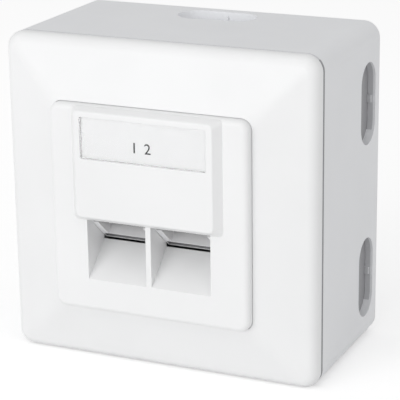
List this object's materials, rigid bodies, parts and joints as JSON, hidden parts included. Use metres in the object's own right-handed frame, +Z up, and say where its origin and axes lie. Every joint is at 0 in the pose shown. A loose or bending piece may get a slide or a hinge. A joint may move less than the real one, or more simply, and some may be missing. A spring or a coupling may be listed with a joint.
{
  "type": "surface mount jack box",
  "caption": "Square surface mount jack box: white wall box with knock-outs, crowned cover frame and hooded centre plate with two shielded data sockets that slope down behind chutes.",
  "frame": {"origin": "centre of the flat back face that lies on the wall", "axes": "+X to the right seen from the front, +Y into the wall, +Z up; the front faces -Y"},
  "size_m": [0.08, 0.0505, 0.08],
  "materials": {
    "box_plastic": "fine satin grain",
    "cover_plastic": "fine satin grain",
    "clear_plastic": "clear moulded plastic",
    "label_paper": "plain card",
    "screw_steel": "zinc plated",
    "carrier_steel": "pressed sheet",
    "cast_shield": "die-cast",
    "board_laminate": "lacquered laminate",
    "socket_plastic": "dark moulding",
    "shield_steel": "tinned sheet",
    "contact_gold": "gold plated",
    "terminal_plastic": "glass-filled plastic",
    "clip_bronze": "silvered bronze",
    "tag_brass": "tinned brass"
  },
  "bodies": {
    "outlet": {"surface_box": "box_plastic", "cover_frame": "cover_plastic", "centre_plate": "cover_plastic", "label_strip": "label_paper", "plate_screw": "screw_steel", "support_plate": "carrier_steel", "device_screws": "screw_steel", "module_housing": "cast_shield", "housing_screws": "screw_steel", "module_cover": "cast_shield", "cover_screws": "screw_steel", "circuit_board": "board_laminate", "board_screws": "screw_steel", "left_jack": "socket_plastic", "right_jack": "socket_plastic", "left_jack_shield": "shield_steel", "right_jack_shield": "shield_steel", "left_contacts": "contact_gold", "right_contacts": "contact_gold", "left_terminal_block": "terminal_plastic", "right_terminal_block": "terminal_plastic", "left_terminal_clips": "clip_bronze", "right_terminal_clips": "clip_bronze", "cable_clamps": "carrier_steel", "clamp_screws": "screw_steel", "earth_tag": "tag_brass", "earth_screw": "screw_steel"},
    "label": {"label_cover": "clear_plastic"}
  },
  "joints": [
    {"name": "label_lift", "type": "slide", "parent": "outlet", "child": "label", "axis": [0, -1, 0], "range_m": [0, 0.012]}
  ]
}
